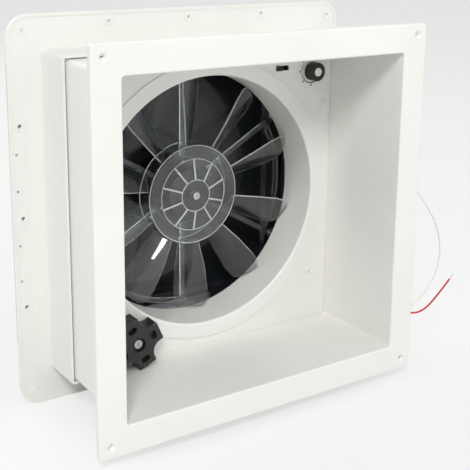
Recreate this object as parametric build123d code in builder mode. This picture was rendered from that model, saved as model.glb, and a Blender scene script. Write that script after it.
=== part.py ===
"""Roof vent fan for a recreational vehicle, as an assembly of separate pieces.

The fan is shown as it stands on the edge of its roof flange: X runs to the right, Z up, and Y
from the room (negative) to the sky (positive). Y = 0 is the face of the roof flange that lies on
the roof, and X = Z = 0 is the axis of the fan. All lengths are in millimetres.
"""

import os
from math import atan, cos, degrees, pi, radians, sin, tan

from build123d import *

# Driving dimensions: fits between pieces
seat_gap = 0.3
running_gap = 0.05
print_gap = 0.5

# Driving dimensions: roof flange, neck and curb
flange_half = 217.0
flange_thick = 3.0
flange_corner_r = 25.0
flange_rim = 3.5
flange_border = 18.0
flange_border_recess = 0.8
flange_border_chamfer = 20.0
flange_boss_r = 5.0
flange_hole_r = 2.4
flange_corner_inset = 17.0
flange_side_inset = 11.3
flange_hole_pitch = 100.4
neck_foot_half = 180.0
neck_rim_half = 178.0
neck_length = 51.5
neck_wall = 2.5
neck_corner_r = 6.0
curb_half = 178.0

# Driving dimensions: fan plate and throat
plate_depth = 47.5
plate_thick = 2.5
plate_corner_r = 4.0
plate_ring_r = 162.5
plate_ring_rise = 1.5
plate_lip_r = 2.5
plate_screw_places = [(160.0, 101.0), (144.0, -109.0), (-160.0, -101.0), (-144.0, 109.0)]
post_r = 4.5
post_length = 24.0
post_rib = 2.5
post_bore_r = 1.55
throat_r = 144.5
throat_wall = 2.5
throat_end = 3.5
throat_lip = 2.5
throat_lug_r = 7.0
throat_lug_length = 9.0

# Driving dimensions: ceiling trim
trim_depth = 169.5
trim_half = 203.0
trim_thick = 6.0
trim_corner_r = 4.0
trim_edge_r = 2.0
trim_face = 2.5
trim_inner_half = 171.5
trim_wall = 2.5
trim_inner_corner_r = 3.0
trim_mouth_r = 2.0
trim_hole = 190.0
trim_hole_r = 2.3
trim_sink_r = 4.6
trim_boss_r = 6.5

# Driving dimensions: lid
lid_half = 203.0
lid_corner_r = 45.0
lid_rim = 6.0
lid_top = 54.0
lid_edge_r = 14.0
lid_wall = 3.0
lid_panel_half = 150.0
lid_panel_rise = 5.0
lid_panel_slope = 40.0
seal_thick = 5.0
seal_width = 6.0
lid_travel = 65.0

# Driving dimensions: lid hinge
hinge_x = -209.0
hinge_y = 9.5
hinge_z = 50.2
hinge_pin_r = 1.5
hinge_pin_head_r = 2.6
hinge_pin_head = 1.0
knuckle_r = 3.5
knuckle_length = 19.4
ear_thick = 2.0
bracket_length = 50.0
bracket_width = 12.0
bracket_thick = 1.5
bracket_screw_pitch = 40.0
bracket_inset = 1.0
sheet_corner_r = 2.0
leaf_thick = 1.5
leaf_reach = 32.0
leaf_length = 34.0
leaf_rivet_pitch = 24.0
leaf_rivet_rise = 26.0
rivet_r = 1.5
rivet_head_r = 3.0
rivet_head = 1.0

# Driving dimensions: crank and worm drive
crank_x = -106.0
crank_z = -141.0
knob_r = 30.5
knob_flat = 29.0
knob_turn = 24.0
knob_scallop_r = 13.0
knob_scallop_place = 34.0
knob_front = 71.5
knob_height = 19.0
knob_edge = 1.0
knob_corner_r = 1.5
knob_pocket_length = 11.0
knob_pocket_width = 7.0
knob_pocket_place = 19.5
knob_pocket_depth = 6.0
knob_cup_r = 8.0
knob_cup_depth = 4.0
knob_hub_r = 8.5
knob_screw_grip = 2.0
crank_shaft_r = 4.0
bush_r = 6.5
bush_flange_r = 8.5
bush_flange = 1.5
gear_module = 1.25
wheel_teeth = 30
wheel_width = 4.0
worm_pitch_r = 7.0
worm_turns = 5
tooth_thin = 0.7
flank_angle = 20.0
tooth_relief = 0.5
thread_sink = 0.4
case_wall = 1.8
case_gap = 0.5

# Driving dimensions: lift arm, shoe and track
axle_r = 4.0
arm_width = 10.0
arm_thick = 3.0
arm_gap = 0.5
shoe_pin_r = 2.5
shoe_length = 14.0
shoe_width = 9.4
shoe_depth = 8.0
shoe_corner_r = 1.5
shoe_floor = 1.0
track_sheet = 1.5
track_foot = 12.0

# Driving dimensions: fan
blade_count = 10
blade_tip_r = 140.5
blade_thick = 2.0
blade_mid = -4.0
blade_start_angle = 18.0
blade_camber = 0.05
# share of the blade's span, chord, pitch angle, and how far the blade sits towards the room
blade_table = [
    (0.00, 24.0, 44.0, -4.5),
    (0.38, 36.0, 41.0, -1.5),
    (0.75, 41.0, 35.0, -0.1),
    (0.94, 37.0, 32.0, -0.1),
    (1.00, 26.0, 31.0, -0.1),
]
hub_r = 59.5
hub_wall = 2.0
hub_front = 11.0
hub_back = 12.0
hub_ring_r = 42.7
hub_disc_r = 18.7
hub_disc_front = 16.5
hub_disc_thick = 3.0
hub_rib_width = 2.0
hub_rib_rise = 2.0
hub_boss_r = 7.0
fan_screw_r = 4.5
fan_screw_head = 2.5

# Driving dimensions: motor and its bracket
motor_shaft_r = 2.5
motor_r = 31.0
motor_wall = 1.2
motor_front = 6.0
motor_back = 32.0
motor_cap = 1.5
motor_boss_r = 7.0
motor_boss = 2.5
motor_flange_r = 39.0
motor_flange = 1.5
motor_screw_place = 35.0
magnet_thick = 4.5
magnet_angle = 120.0
armature_r = 24.0
armature_back = 22.0
commutator_r = 9.0
commutator_length = 6.0
bushing_r = 4.5
bracket_front = 14.0
bracket_sheet = 3.0
bracket_ring_r = 41.0
bracket_arm_width = 6.0
bracket_arc_r = 138.0
bracket_arc_width = 6.0
bracket_gap_angles = [30, 150, 270]
bracket_arm_step = 60
bracket_gap_inset = 2
bracket_post_place = 151.5
bracket_post_r = 5.0
bracket_post_angles = [30.0, -30.0, 90.0, 150.0, -150.0]

# Driving dimensions: screws
screw_r = 1.5
screw_head_r = 3.4
screw_head = 2.0
screw_slot = 0.8
screw_grip = 12.0

# Driving dimensions: speed dial and slide switch
dial_x = 141.0
dial_z = 140.0
dial_r = 11.0
dial_height = 11.5
dial_edge_r = 1.2
dial_flutes = 18
dial_flute_r = 0.7
dial_cap_r = 5.0
dial_cap_rise = 1.0
dial_cap_depth = 3.0
dial_shaft_r = 3.0
control_r = 9.0
control_length = 12.0
control_nut_width = 10.0
control_nut_thick = 1.2
control_neck_r = 4.0
switch_x = 98.8
switch_z = 146.0
switch_slot = 18.6
switch_slot_height = 6.0
switch_body_depth = 9.0
switch_body_margin = 3.0
switch_corner_r = 1.0
switch_key_length = 7.0
switch_key_rise = 2.5

# Driving dimensions: supply leads
grommet_y = -29.5
grommet_z = 10.0
grommet_r = 5.0
grommet_flange_r = 7.0
grommet_flange = 1.5
lead_pitch = 4.4
lead_d = 2.2
lead_core_d = 1.4
tip_length = 9.0

# Places worked out from the dimensions above
plate_front = -plate_depth
plate_back = plate_front + plate_thick
neck_draft = degrees(atan((neck_foot_half - neck_rim_half) / neck_length))
lid_ceiling = lid_top - lid_wall
curb_top = lid_ceiling - seat_gap - seal_thick
trim_front = -trim_depth
throat_outer_r = throat_r + throat_wall
flange_corner_hole = flange_half - flange_corner_inset
flange_side_hole = flange_half - flange_side_inset
side_places = [-flange_hole_pitch, 0.0, flange_hole_pitch]
corner_signs = [(1, 1), (1, -1), (-1, 1), (-1, -1)]
corner_holes = [(sx * flange_corner_hole, sz * flange_corner_hole) for sx, sz in corner_signs]
side_holes = [(side * flange_side_hole, z) for side in (-1, 1) for z in side_places]
side_holes += [(x, side * flange_side_hole) for side in (-1, 1) for x in side_places]
roof_holes = corner_holes + side_holes
trim_holes = [(sx * trim_hole, sz * trim_hole) for sx, sz in corner_signs]
hinge_places = [-hinge_z, hinge_z]

# The worm lies on the crank's axis and the wheel beside it, on the axis of the lift arm
wheel_pitch_r = gear_module * wheel_teeth / 2
worm_lead = pi * gear_module
wheel_x = crank_x + worm_pitch_r + wheel_pitch_r
worm_root_r = worm_pitch_r - gear_module - tooth_relief
worm_tip_r = worm_pitch_r + gear_module
wheel_tip_r = wheel_pitch_r + gear_module - tooth_relief
wheel_root_r = wheel_pitch_r - gear_module - tooth_relief
tooth_width = worm_lead / 2 - tooth_thin
arm_length = wheel_x - hinge_x
shoe_x = wheel_x + arm_length
case_x = worm_tip_r + case_gap + case_wall
case_low = crank_z - case_x
case_cover = case_low - case_wall
wheel_case_r = wheel_tip_r + case_gap + case_wall
wheel_case_z = crank_z + wheel_width / 2 + case_gap + case_wall
case_back = hinge_y + wheel_case_r
arm_top = case_cover - arm_gap
arm_low = arm_top - arm_thick
track_mouth = arm_low - arm_gap
shoe_top = track_mouth - arm_gap
shoe_low = shoe_top - shoe_depth
track_web = shoe_low - print_gap


def face(y):
    """Plane at depth y: its normal points to the room, and its axes run right and up."""
    return Plane(origin=(0, y, 0), x_dir=(1, 0, 0), z_dir=(0, -1, 0))


def level(z, x=0.0, y=0.0):
    """Plane at height z: its normal points up, and its axes run right and to the sky."""
    return Plane(origin=(x, y, z), x_dir=(1, 0, 0), z_dir=(0, 0, 1))


def side(x, y=0.0, z=0.0):
    """Plane at place x: its normal points right, and its axes run to the sky and up."""
    return Plane(origin=(x, y, z), x_dir=(0, 1, 0), z_dir=(1, 0, 0))


def turned(radius, angle, x=0.0, z=0.0):
    """Point at a radius and an angle about (x, z), in the plane of the fan."""
    return (x + radius * cos(radians(angle)), z + radius * sin(radians(angle)))


def screw_solid(head_r, head, shank_r, shank, slot):
    """One cross-slotted pan head screw, its seat at the origin and its head along +Z."""
    with BuildPart(mode=Mode.PRIVATE) as screw:
        Cylinder(head_r, head, align=(Align.CENTER, Align.CENTER, Align.MIN))
        fillet(screw.edges().group_by(Axis.Z)[-1], head / 3)
        Cylinder(shank_r, shank, align=(Align.CENTER, Align.CENTER, Align.MAX))
        with Locations((0, 0, head)):
            Box(head_r * 1.2, slot, head, mode=Mode.SUBTRACT)
            Box(slot, head_r * 1.2, head, mode=Mode.SUBTRACT)
    return screw.part


def rivet_solid(shank_r, head_r, head, grip):
    """One rivet with a domed head on each side, its first seat at the origin."""
    with BuildPart(mode=Mode.PRIVATE) as rivet:
        Cylinder(shank_r, grip, align=(Align.CENTER, Align.CENTER, Align.MAX))
        Cylinder(head_r, head, align=(Align.CENTER, Align.CENTER, Align.MIN))
        with Locations((0, 0, -grip)):
            Cylinder(head_r, head, align=(Align.CENTER, Align.CENTER, Align.MAX))
        fillet(rivet.edges().filter_by(GeomType.CIRCLE).group_by(Axis.Z)[-1], head / 2)
        fillet(rivet.edges().filter_by(GeomType.CIRCLE).group_by(Axis.Z)[0], head / 2)
    return rivet.part


pieces = []


def keep(builder, label):
    """Name a finished piece and put it on the list of files to write."""
    builder.part.label = label
    pieces.append(builder.part)


# Base frame: roof flange, neck to the room, curb to the sky
with BuildPart() as base_frame:
    with BuildSketch(face(0)):
        RectangleRounded(2 * flange_half, 2 * flange_half, flange_corner_r)
    extrude(amount=-flange_thick)
    # the border of the flange is a little lower than its seat, with a rim and screw bosses left
    with BuildSketch(face(0)):
        border_half = flange_half - flange_rim
        RectangleRounded(2 * border_half, 2 * border_half, flange_corner_r - flange_rim)
        with BuildSketch(mode=Mode.PRIVATE) as seat:
            Rectangle(2 * (flange_half - flange_border), 2 * (flange_half - flange_border))
            chamfer(seat.vertices(), flange_border_chamfer)
        add(seat.sketch, mode=Mode.SUBTRACT)
        with Locations(*roof_holes):
            Circle(flange_boss_r, mode=Mode.SUBTRACT)
    extrude(amount=-flange_border_recess, mode=Mode.SUBTRACT)
    with BuildSketch(face(0)):
        RectangleRounded(2 * neck_foot_half, 2 * neck_foot_half, neck_corner_r)
    extrude(amount=neck_length, taper=neck_draft)
    with BuildSketch(face(flange_thick)):
        RectangleRounded(2 * curb_half, 2 * curb_half, neck_corner_r)
    extrude(amount=-(curb_top - flange_thick))
    neck_inner = neck_foot_half - neck_wall
    with BuildSketch(face(0)):
        RectangleRounded(2 * neck_inner, 2 * neck_inner, neck_corner_r - neck_wall)
    extrude(amount=neck_length, taper=neck_draft, mode=Mode.SUBTRACT)
    curb_inner = curb_half - neck_wall
    with BuildSketch(face(0)):
        RectangleRounded(2 * curb_inner, 2 * curb_inner, neck_corner_r - neck_wall)
    extrude(amount=-curb_top, mode=Mode.SUBTRACT)
    # posts that carry the fan plate, each joined to the neck's wall by a rib
    with BuildSketch(face(plate_back)):
        with Locations(*plate_screw_places):
            Circle(post_r)
        for x, z in plate_screw_places:
            reach = neck_rim_half - neck_wall / 2 - abs(x)
            away = abs(x) + reach / 2
            with Locations((away if x > 0 else -away, z)):
                Rectangle(reach, post_rib)
    extrude(amount=-post_length)
    with BuildSketch(face(plate_back)):
        with Locations(*plate_screw_places):
            Circle(post_bore_r)
    extrude(amount=-post_length, mode=Mode.SUBTRACT)
    with BuildSketch(face(0)):
        with Locations(*roof_holes):
            Circle(flange_hole_r)
        hinge_screw_places = [
            (hinge_x - bracket_inset, z + s * bracket_screw_pitch / 2)
            for z in hinge_places for s in (-1, 1)
        ]
        with Locations(*hinge_screw_places):
            Circle(screw_r + running_gap)
    extrude(amount=-flange_thick, mode=Mode.SUBTRACT)
    with BuildSketch(side(curb_half - 3 * neck_wall, grommet_y, grommet_z)):
        Circle(grommet_r + running_gap)
    extrude(amount=6 * neck_wall, mode=Mode.SUBTRACT)
keep(base_frame, "base_frame")

# Fan plate with its round mouth
with BuildPart(face(plate_back)) as base_plate:
    plate_half = neck_rim_half - neck_wall - 2 * seat_gap
    with BuildSketch(face(plate_back)):
        RectangleRounded(2 * plate_half, 2 * plate_half, plate_corner_r)
    extrude(amount=plate_thick)
    with BuildSketch(face(plate_back)):
        Circle(plate_ring_r)
    extrude(amount=plate_thick + plate_ring_rise)
    with BuildSketch(face(plate_back)):
        Circle(throat_r)
    extrude(amount=plate_thick + plate_ring_rise, mode=Mode.SUBTRACT)
    mouth_edges = base_plate.edges().filter_by(GeomType.CIRCLE).group_by(Axis.Y)[0]
    fillet(mouth_edges.sort_by(SortBy.RADIUS)[0], plate_lip_r)
    with BuildSketch(face(plate_back)):
        with Locations(*plate_screw_places):
            Circle(screw_r + running_gap)
        with Locations((crank_x, crank_z)):
            Circle(bush_r + running_gap)
        with Locations((dial_x, dial_z)):
            Circle(control_neck_r + running_gap)
        with Locations((switch_x, switch_z)):
            Rectangle(switch_slot, switch_slot_height)
    extrude(amount=plate_thick, mode=Mode.SUBTRACT)
keep(base_plate, "base_plate")

# Throat: the duct round the blades, with lugs for the motor bracket
with BuildPart() as throat_ring:
    with BuildSketch(face(plate_back)):
        Circle(throat_outer_r)
    extrude(amount=plate_back - throat_end)
    with BuildSketch(face(plate_back)):
        Circle(throat_outer_r + throat_lip)
    extrude(amount=-throat_wall)
    with BuildSketch(face(throat_end)):
        with Locations(*[turned(bracket_post_place, angle) for angle in bracket_post_angles]):
            Circle(throat_lug_r)
    extrude(amount=throat_lug_length)
    with BuildSketch(face(throat_end)):
        with Locations(*[turned(bracket_post_place, angle) for angle in bracket_post_angles]):
            Circle(post_bore_r)
    extrude(amount=throat_lug_length, mode=Mode.SUBTRACT)
    with BuildSketch(face(throat_end)):
        Circle(throat_r)
    extrude(amount=throat_end - plate_back, mode=Mode.SUBTRACT)
keep(throat_ring, "throat_ring")

# Ceiling trim: a frame that covers the edge of the ceiling, with a sleeve up to the fan plate
with BuildPart() as trim_frame:
    with BuildSketch(face(trim_front + trim_thick)):
        RectangleRounded(2 * trim_half, 2 * trim_half, trim_corner_r)
    extrude(amount=trim_thick)
    fillet(trim_frame.faces().sort_by(Axis.Y)[0].edges(), trim_edge_r)
    sleeve_half = trim_inner_half + trim_wall
    with BuildSketch(face(trim_front + trim_thick)):
        hollow_half = trim_half - trim_wall
        RectangleRounded(2 * hollow_half, 2 * hollow_half, trim_corner_r - trim_edge_r)
        Rectangle(2 * sleeve_half, 2 * sleeve_half, mode=Mode.SUBTRACT)
        with Locations(*trim_holes):
            Circle(trim_boss_r, mode=Mode.SUBTRACT)
    extrude(amount=trim_thick - trim_face, mode=Mode.SUBTRACT)
    with BuildSketch(face(plate_front - print_gap)):
        RectangleRounded(2 * sleeve_half, 2 * sleeve_half, trim_inner_corner_r + trim_wall)
    extrude(amount=plate_front - print_gap - trim_front - trim_thick)
    with BuildSketch(face(plate_front)):
        RectangleRounded(2 * trim_inner_half, 2 * trim_inner_half, trim_inner_corner_r)
    extrude(amount=trim_depth, mode=Mode.SUBTRACT)
    mouth_face = trim_frame.faces().filter_by(Axis.Y).sort_by(Axis.Y)[0]
    fillet(mouth_face.inner_wires()[0].edges(), trim_mouth_r)
    with BuildSketch(face(trim_front)):
        with Locations(*trim_holes):
            Circle(trim_hole_r)
    extrude(amount=-trim_thick, mode=Mode.SUBTRACT)
    with BuildSketch(face(trim_front)):
        with Locations(*trim_holes):
            Circle(trim_sink_r)
    extrude(amount=-(trim_sink_r - trim_hole_r), taper=45, mode=Mode.SUBTRACT)
keep(trim_frame, "trim_frame")

# Screws that hold the fan plate
plate_screw = screw_solid(screw_head_r, screw_head, screw_r, screw_grip, screw_slot)
with BuildPart(face(plate_front)) as plate_screws:
    with Locations(*plate_screw_places):
        add(plate_screw)
keep(plate_screws, "plate_screws")


def dome(half, corner_r, rim, top, edge_r, panel_half):
    """Solid pillow of the lid: a rounded square with a soft upper edge and a raised panel."""
    with BuildPart(mode=Mode.PRIVATE) as pillow:
        with BuildSketch(face(rim)):
            RectangleRounded(2 * half, 2 * half, corner_r)
        extrude(amount=-(top - rim))
        fillet(pillow.faces().sort_by(Axis.Y)[-1].edges(), edge_r)
        with BuildSketch(face(top)):
            RectangleRounded(2 * panel_half, 2 * panel_half, corner_r / 2)
        extrude(amount=-lid_panel_rise, taper=lid_panel_slope)
    return pillow.part


# Lid: a smoked dome that closes over the curb
with BuildPart() as lid_dome:
    lid_inner_corner_r = lid_corner_r - lid_wall
    lid_inner_edge_r = lid_edge_r - lid_wall
    panel_inner_half = lid_panel_half - lid_wall / 2
    add(dome(lid_half, lid_corner_r, lid_rim, lid_top, lid_edge_r, lid_panel_half))
    hollow = dome(
        lid_half - lid_wall, lid_inner_corner_r, lid_rim, lid_ceiling, lid_inner_edge_r, panel_inner_half
    )
    add(hollow, mode=Mode.SUBTRACT)
    leaf_holes = [(leaf_rivet_rise, z + s * leaf_rivet_pitch / 2) for z in hinge_places for s in (-1, 1)]
    with BuildSketch(side(-lid_half)):
        with Locations(*leaf_holes):
            Circle(rivet_r + running_gap)
    extrude(amount=2 * lid_wall, both=True, mode=Mode.SUBTRACT)
keep(lid_dome, "lid_dome")

# Seal on the curb's upper edge
with BuildPart() as curb_seal:
    seal_mid = curb_half - neck_wall / 2
    with BuildSketch(face(curb_top)):
        seal_outer = seal_mid + seal_width / 2
        seal_inner = seal_mid - seal_width / 2
        RectangleRounded(2 * seal_outer, 2 * seal_outer, neck_corner_r)
        RectangleRounded(2 * seal_inner, 2 * seal_inner, neck_corner_r - neck_wall, mode=Mode.SUBTRACT)
    extrude(amount=-seal_thick)
keep(curb_seal, "curb_seal")

# Lid hinge: brackets on the flange, pins, and leaves on the lid
with BuildPart(face(flange_thick)) as hinge_brackets:
    for z in hinge_places:
        with BuildSketch(face(flange_thick)):
            with Locations((hinge_x - bracket_inset, z)):
                RectangleRounded(bracket_width, bracket_length, sheet_corner_r)
        extrude(amount=-bracket_thick)
        for s in (-1, 1):
            ear_mid = z + s * (knuckle_length / 2 + seat_gap + ear_thick / 2)
            with BuildSketch(level(ear_mid)):
                with Locations((hinge_x, hinge_y)):
                    Circle(knuckle_r)
                with Locations((hinge_x, (hinge_y + flange_thick) / 2)):
                    Rectangle(2 * knuckle_r, hinge_y - flange_thick)
            extrude(amount=ear_thick / 2, both=True)
        with BuildSketch(level(z)):
            with Locations((hinge_x, hinge_y)):
                Circle(hinge_pin_r)
        extrude(amount=bracket_length / 2, both=True, mode=Mode.SUBTRACT)
    with BuildSketch(face(flange_thick)):
        with Locations(*hinge_screw_places):
            Circle(screw_r + running_gap)
    extrude(amount=-bracket_thick, mode=Mode.SUBTRACT)
keep(hinge_brackets, "hinge_brackets")

with BuildPart() as hinge_pins:
    pin_half = knuckle_length / 2 + seat_gap + ear_thick
    for z in hinge_places:
        with BuildSketch(level(z)):
            with Locations((hinge_x, hinge_y)):
                Circle(hinge_pin_r - running_gap)
        extrude(amount=pin_half, both=True)
        for s in (-1, 1):
            with BuildSketch(level(z + s * (pin_half + hinge_pin_head / 2))):
                with Locations((hinge_x, hinge_y)):
                    Circle(hinge_pin_head_r)
            extrude(amount=hinge_pin_head / 2, both=True)
keep(hinge_pins, "hinge_pins")

with BuildPart() as hinge_leaves:
    for z in hinge_places:
        with BuildSketch(level(z)):
            with Locations((hinge_x, hinge_y)):
                Circle(knuckle_r)
            with Locations(((hinge_x - lid_half) / 2, hinge_y + knuckle_r / 2)):
                Rectangle(-lid_half - hinge_x, knuckle_r)
        extrude(amount=knuckle_length / 2, both=True)
        with BuildSketch(side(-lid_half)):
            with Locations((hinge_y - knuckle_r / 2 + leaf_reach / 2, z)):
                RectangleRounded(leaf_reach - knuckle_r, leaf_length, sheet_corner_r)
        extrude(amount=-leaf_thick)
        with BuildSketch(level(z)):
            with Locations((hinge_x, hinge_y)):
                Circle(hinge_pin_r + running_gap / 2)
        extrude(amount=knuckle_length / 2, both=True, mode=Mode.SUBTRACT)
    with BuildSketch(side(-lid_half)):
        with Locations(*leaf_holes):
            Circle(rivet_r + running_gap)
    extrude(amount=-leaf_thick, mode=Mode.SUBTRACT)
keep(hinge_leaves, "hinge_leaves")

leaf_rivet = rivet_solid(rivet_r, rivet_head_r, rivet_head, leaf_thick + lid_wall)
with BuildPart(Plane(origin=(-lid_half - leaf_thick, 0, 0), x_dir=(0, -1, 0), z_dir=(-1, 0, 0))) as leaf_rivets:
    with Locations(*[(-y, z) for y, z in leaf_holes]):
        add(leaf_rivet)
keep(leaf_rivets, "leaf_rivets")

bracket_screw = screw_solid(screw_head_r - 0.6, screw_head / 2, screw_r, flange_thick, screw_slot)
sky_side = Plane(origin=(0, flange_thick + bracket_thick, 0), x_dir=(-1, 0, 0), z_dir=(0, 1, 0))
with BuildPart(sky_side) as hinge_screws:
    with Locations(*[(-x, z) for x, z in hinge_screw_places]):
        add(bracket_screw)
keep(hinge_screws, "hinge_screws")

# Track on the lid in which the lift arm's shoe runs
with BuildPart() as lid_track:
    track_from = hinge_x + 2 * arm_length * cos(radians(lid_travel)) - shoe_length
    track_to = shoe_x + shoe_length
    channel_half = shoe_width / 2 + seat_gap
    with BuildSketch(side(track_from)):
        with BuildLine():
            Polyline(
                (hinge_y - channel_half - track_sheet, track_web - track_sheet),
                (lid_ceiling, track_web - track_sheet),
                (lid_ceiling, track_web + track_foot),
                (lid_ceiling - track_sheet, track_web + track_foot),
                (lid_ceiling - track_sheet, track_web),
                (hinge_y + channel_half + track_sheet, track_web),
                (hinge_y + channel_half + track_sheet, track_mouth),
                (hinge_y + channel_half, track_mouth),
                (hinge_y + channel_half, track_web),
                (hinge_y - channel_half, track_web),
                (hinge_y - channel_half, track_mouth),
                (hinge_y - channel_half - track_sheet, track_mouth),
                close=True,
            )
        make_face()
    extrude(amount=track_to - track_from)
keep(lid_track, "lid_track")

# Lift arm, its shoe and the pin between them
with BuildPart() as lift_arm:
    with BuildSketch(level(arm_low)):
        with Locations(((wheel_x + shoe_x) / 2, hinge_y)):
            SlotCenterToCenter(arm_length, arm_width)
        with Locations((wheel_x, hinge_y)):
            Circle(axle_r, mode=Mode.SUBTRACT)
        with Locations((shoe_x, hinge_y)):
            Circle(shoe_pin_r, mode=Mode.SUBTRACT)
    extrude(amount=arm_thick)
keep(lift_arm, "lift_arm")

with BuildPart() as shoe_pin:
    with BuildSketch(level(shoe_low + shoe_floor)):
        with Locations((shoe_x, hinge_y)):
            Circle(shoe_pin_r - running_gap)
    extrude(amount=arm_top - shoe_low - shoe_floor)
keep(shoe_pin, "shoe_pin")

with BuildPart() as track_shoe:
    with BuildSketch(level(shoe_low)):
        with Locations((shoe_x, hinge_y)):
            RectangleRounded(shoe_length, shoe_width, shoe_corner_r)
    extrude(amount=shoe_depth)
    with BuildSketch(level(shoe_low + shoe_floor)):
        with Locations((shoe_x, hinge_y)):
            Circle(shoe_pin_r)
    extrude(amount=shoe_depth, mode=Mode.SUBTRACT)
keep(track_shoe, "track_shoe")

# Worm wheel on the lift arm's axle
flank = tan(radians(flank_angle))
with BuildPart() as worm_wheel:
    with BuildSketch(level(crank_z - wheel_width / 2)):
        with Locations((wheel_x, hinge_y)):
            Circle(wheel_root_r)
            for i in range(wheel_teeth):
                with Locations(Location((0, 0, 0), (0, 0, 180 + (i + 0.5) * 360 / wheel_teeth))):
                    foot_r = wheel_root_r - tooth_relief
                    root_half = tooth_width / 2 + (wheel_pitch_r - foot_r) * flank
                    tip_half = tooth_width / 2 - (wheel_tip_r - wheel_pitch_r) * flank
                    Polygon(
                        (foot_r, -root_half),
                        (wheel_tip_r, -tip_half),
                        (wheel_tip_r, tip_half),
                        (foot_r, root_half),
                        align=None,
                    )
            Circle(axle_r, mode=Mode.SUBTRACT)
    extrude(amount=wheel_width)
keep(worm_wheel, "worm_wheel")

with BuildPart() as arm_axle:
    with BuildSketch(level(arm_low)):
        with Locations((wheel_x, hinge_y)):
            Circle(axle_r - running_gap)
    extrude(amount=wheel_case_z - case_wall / 2 - arm_low)
keep(arm_axle, "arm_axle")

# Case of the worm drive and its cover
tower_low = plate_back
with BuildPart() as gear_case:
    with BuildSketch(level(case_low)):
        with Locations((crank_x, (tower_low + case_back) / 2)):
            Rectangle(2 * case_x, case_back - tower_low)
        with Locations((wheel_x, hinge_y)):
            Circle(wheel_case_r)
    extrude(amount=wheel_case_z - case_low)
    with BuildSketch(level(wheel_case_z)):
        with Locations((crank_x, (tower_low + case_back) / 2)):
            Rectangle(2 * case_x, case_back - tower_low)
    extrude(amount=crank_z + case_x - wheel_case_z)
    with BuildSketch(level(case_low)):
        with Locations((wheel_x, hinge_y)):
            Circle(wheel_case_r - case_wall)
    extrude(amount=wheel_case_z - case_wall - case_low, mode=Mode.SUBTRACT)
    with BuildSketch(level(case_low)):
        with Locations((crank_x, (tower_low + case_back) / 2)):
            Rectangle(2 * (case_x - case_wall), case_back - tower_low - 2 * case_wall)
    extrude(amount=2 * case_x - case_wall, mode=Mode.SUBTRACT)
    with BuildSketch(face(tower_low)):
        with Locations((crank_x, crank_z)):
            Circle(bush_r + running_gap)
    extrude(amount=-2 * case_wall, mode=Mode.SUBTRACT)
    with BuildSketch(face(case_back)):
        with Locations((crank_x, crank_z)):
            Circle(crank_shaft_r + running_gap)
    extrude(amount=2 * case_wall, mode=Mode.SUBTRACT)
    with BuildSketch(level(wheel_case_z)):
        with Locations((wheel_x, hinge_y)):
            Circle(axle_r)
    extrude(amount=-case_wall, mode=Mode.SUBTRACT)
keep(gear_case, "gear_case")

with BuildPart() as gear_cover:
    with BuildSketch(level(case_cover)):
        with Locations((crank_x, (tower_low + case_back) / 2)):
            Rectangle(2 * case_x, case_back - tower_low)
        with Locations((wheel_x, hinge_y)):
            Circle(wheel_case_r)
            Circle(axle_r, mode=Mode.SUBTRACT)
    extrude(amount=case_wall)
keep(gear_cover, "gear_cover")

# Crank: shaft with the worm, bush, four-lobed knob and its screw
worm_axis = Plane(origin=(crank_x, hinge_y, crank_z), x_dir=(1, 0, 0), z_dir=(0, -1, 0))
shaft_end = case_back - case_wall
knob_back = -(knob_front - knob_height)
shaft_tip = -(knob_front - knob_cup_depth - knob_screw_grip)
with BuildPart(worm_axis) as crank_shaft:
    with BuildSketch(face(case_back)):
        with Locations((crank_x, crank_z)):
            Circle(crank_shaft_r)
    extrude(amount=case_back - shaft_tip)
    thread_length = worm_turns * worm_lead
    # the thread starts under the axis, so its ridge comes level with the wheel a quarter turn on
    thread_foot = (crank_x, hinge_y + (worm_turns // 2 + 0.25) * worm_lead, crank_z)
    with BuildLine() as thread_line:
        Helix(worm_lead, thread_length, worm_root_r, center=thread_foot, direction=(0, -1, 0))
    thread_start = Plane(
        origin=thread_line.line @ 0, x_dir=(0, 0, -1), z_dir=thread_line.line % 0
    )
    with BuildSketch(thread_start):
        root_half = tooth_width / 2 + (worm_pitch_r - worm_root_r) * flank
        tip_half = tooth_width / 2 - gear_module * flank
        Polygon(
            (-thread_sink, -root_half),
            (worm_tip_r - worm_root_r, -tip_half),
            (worm_tip_r - worm_root_r, tip_half),
            (-thread_sink, root_half),
            align=None,
        )
    sweep(path=thread_line.line, is_frenet=True)
    with BuildSketch(face(hinge_y + (worm_turns + 1) * worm_lead / 2)):
        with Locations((crank_x, crank_z)):
            Circle(worm_root_r)
    extrude(amount=(worm_turns + 1) * worm_lead)
keep(crank_shaft, "crank_shaft")

with BuildPart() as crank_bush:
    with BuildSketch(face(plate_back + case_wall)):
        with Locations((crank_x, crank_z)):
            Circle(bush_r)
    extrude(amount=plate_thick + case_wall)
    with BuildSketch(face(plate_front)):
        with Locations((crank_x, crank_z)):
            Circle(bush_flange_r)
    extrude(amount=bush_flange)
    with BuildSketch(face(plate_back + case_wall)):
        with Locations((crank_x, crank_z)):
            Circle(crank_shaft_r + running_gap)
    extrude(amount=plate_thick + case_wall + bush_flange, mode=Mode.SUBTRACT)
keep(crank_bush, "crank_bush")

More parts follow.
